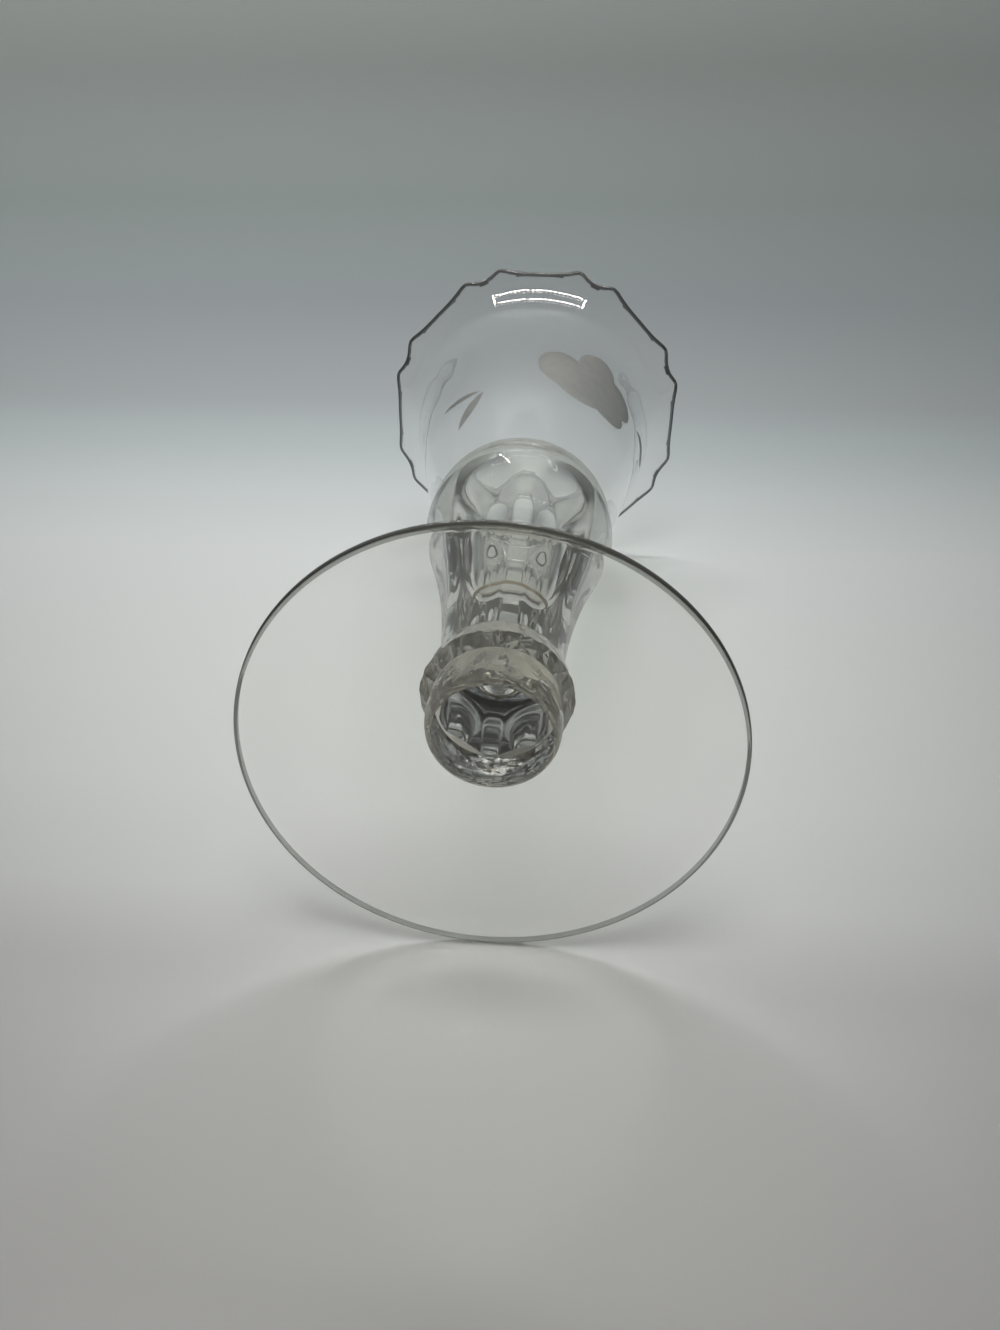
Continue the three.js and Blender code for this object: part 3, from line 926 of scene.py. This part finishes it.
# The shading below is painted light: the lamps' falloff along and across the paper.
# The paper's tone follows how far along the sweep a place lies, and how far aside of the
# picture's middle, in half widths of the picture there. Nearby it darkens to both sides, far
# away it lightens to the left, and at every distance it is darker on the right.
paper, finish = new_finish("sweep_paper")
x, y, z = finish.place()
distance = z + (sweep_rest - y)
nearest, farthest = SWEEP_PAINTED_LIGHT[0][0], SWEEP_PAINTED_LIGHT[-1][0]
stops = [((reach - nearest) / (farthest - nearest), tone) for reach, tone in SWEEP_PAINTED_LIGHT]
shade = finish.node("ValToRGB", {"stops": stops}, [distance.between(nearest, farthest)])
spread = VIEW_HALF_WIDTH + VIEW_WIDENING * distance.at_most(VIEW_WIDENING_END)
aside = (x - VIEW_MIDDLE + VIEW_DRIFT * distance) / spread
aside = aside.at_least(-SHADED_ASIDE).at_most(SHADED_ASIDE)
far = distance.at_least(0).at_most(SHADED_FAR)
to_both_sides = (SIDE_FALL - SIDE_FALL_LOSS * far * far) * aside * aside
level = 1 - to_both_sides - (RIGHT_FALL + RIGHT_FALL_GAIN * far) * aside
tone = finish.node("VectorMath", {"operation": "SCALE"}, {0: shade, 3: level})
show_paper(finish, tone)
sweep.data.materials.append(paper)

bpy.ops.object.select_all(action="DESELECT")
bpy.ops.mesh.primitive_grid_add(
    x_subdivisions=2, y_subdivisions=2, size=FLOOR_WIDTH, location=(0, 0, -FLOOR_DROP)
)
floor = bpy.context.object
floor.name = "floor"
floor_paper, finish = new_finish("floor_paper")
show_paper(finish, FLOOR_TONE, finish.seen_through())
floor.data.materials.append(floor_paper)

# Light
# A soft white tent with a dark opening behind the camera, a lamp over the foot, a low one beyond
# the rim that throws the foot's shadow towards the camera, one for the floor behind the sweep,
# and a frame of small lights whose reflections run along the glass.
TENT_TONE = (0.135, 0.135, 0.13, 1)
OPENING_TONE = (0.095, 0.095, 0.082, 1)
OPENING_AXIS = (0.06, -0.52, -0.85)
OPENING_ANGLE = 38
OPENING_EDGE_ANGLE = 50
TENT_STRENGTH = 0.9
BEYOND_TONE = (0.5, 0.52, 0.52, 1)
LIGHT_FRAME_HEIGHT = 0.28
LIGHT_FRAME_MIDDLE = 0.228
LIGHT_FRAME_HALF_WIDTH = 0.135
LIGHT_FRAME_HALF_DEPTH = 0.028
LIGHT_DOT_RADIUS = 3.4 * MM
LIGHT_DOT_TINT = (1, 0.97, 0.9, 1)
LIGHT_DOT_STRENGTH = 160
DOTS_WIDE = 24
DOTS_DEEP = 6
world = bpy.data.worlds.new("tent")
bpy.context.scene.world = world
finish = Finish(world)
direction = finish.node("TexCoord", {}, {}, "Generated")
towards = finish.node(
    "VectorMath", {"operation": "DOT_PRODUCT"}, [direction, OPENING_AXIS], "Value"
)
opening_edge = math.cos(math.radians(OPENING_EDGE_ANGLE))
opening = towards.between(opening_edge, math.cos(math.radians(OPENING_ANGLE)))
tent = finish.node("Mix", {"data_type": "RGBA"}, {0: opening, 6: TENT_TONE, 7: OPENING_TONE}, 2)
light = finish.node("Background", {}, {"Color": tent, "Strength": TENT_STRENGTH})
beyond = finish.node("Background", {}, {"Color": BEYOND_TONE, "Strength": 1})
finish.show(finish.node("MixShader", {}, [finish.seen_through(), light, beyond]), "OutputWorld")


def hang_lamp(name, place, width, depth, energy):
    """A flat lamp turned to the middle of the foot, where it lights and casts shadows unseen."""
    lamp_data = bpy.data.lights.new(name, "AREA")
    lamp_data.shape = "RECTANGLE"
    lamp_data.size = width
    lamp_data.size_y = depth
    lamp_data.energy = energy
    lamp = bpy.data.objects.new(name, lamp_data)
    bpy.context.scene.collection.objects.link(lamp)
    lamp.location = place
    lamp.rotation_euler = (-Vector(place)).to_track_quat("-Z", "Y").to_euler()
    lamp.visible_camera = False
    lamp.visible_glossy = False
    lamp.visible_transmission = False


hang_lamp("overhead_lamp", (0, -0.6, -0.135), width=0.3, depth=0.25, energy=1.95)
hang_lamp("far_lamp", (-0.02, -0.5, 0.4), width=0.4, depth=0.06, energy=2.3)
hang_lamp("back_lamp", (-0.3, 0.5, 0.75), width=0.4, depth=0.4, energy=3.8)

bpy.ops.object.select_all(action="DESELECT")
bpy.ops.mesh.primitive_ico_sphere_add(
    subdivisions=1,
    radius=LIGHT_DOT_RADIUS,
    location=(0, -LIGHT_FRAME_HEIGHT, LIGHT_FRAME_MIDDLE - LIGHT_FRAME_HALF_DEPTH),
)
dots = bpy.context.object
dots.name = "light_frame"
bpy.ops.object.transform_apply(location=True, rotation=True, scale=True)
bpy.ops.object.mode_set(mode="EDIT")
places = []
for step in range(DOTS_WIDE):
    across = LIGHT_FRAME_HALF_WIDTH * (2 * step / (DOTS_WIDE - 1) - 1)
    for side in (-1, 1):
        places.append((across, LIGHT_FRAME_MIDDLE + side * LIGHT_FRAME_HALF_DEPTH))
for step in range(1, DOTS_DEEP - 1):
    along = LIGHT_FRAME_HALF_DEPTH * (2 * step / (DOTS_DEEP - 1) - 1)
    for side in (-1, 1):
        places.append((side * LIGHT_FRAME_HALF_WIDTH, LIGHT_FRAME_MIDDLE + along))
for across, along in places:
    bpy.ops.mesh.primitive_ico_sphere_add(
        subdivisions=1, radius=LIGHT_DOT_RADIUS, location=(across, -LIGHT_FRAME_HEIGHT, along)
    )
bpy.ops.object.mode_set(mode="OBJECT")
glow, finish = new_finish("light_dot")
inputs = {"Color": LIGHT_DOT_TINT, "Strength": LIGHT_DOT_STRENGTH}
finish.show(finish.node("Emission", {}, inputs))
dots.data.materials.append(glow)
dots.visible_camera = False
dots.visible_shadow = False
dots.visible_diffuse = False

# Camera
# It stands close in front of the foot and looks along the vase towards the rim. Its place, turn
# and lens come from fitting the outlines of the foot and of the rim.
CAMERA_PLACE = (0.01174, -0.1025, -0.13283)
CAMERA_RIGHT = Vector((0.9975, 0.0013, 0.0716))
CAMERA_UP = Vector((-0.0364, -0.8517, 0.5227))
LENS = 25.77
SENSOR_WIDTH = 36
camera_data = bpy.data.cameras.new("camera")
camera_data.lens = LENS
camera_data.sensor_width = SENSOR_WIDTH
camera_data.clip_start = 5 * MM
camera = bpy.data.objects.new("camera", camera_data)
bpy.context.scene.collection.objects.link(camera)
right = CAMERA_RIGHT.normalized()
back = right.cross(CAMERA_UP).normalized()
camera_turn = Matrix((right, back.cross(right), back)).transposed()
camera.matrix_world = Matrix.Translation(CAMERA_PLACE) @ camera_turn.to_4x4()
bpy.context.scene.camera = camera
bpy.context.scene.view_settings.view_transform = "Standard"
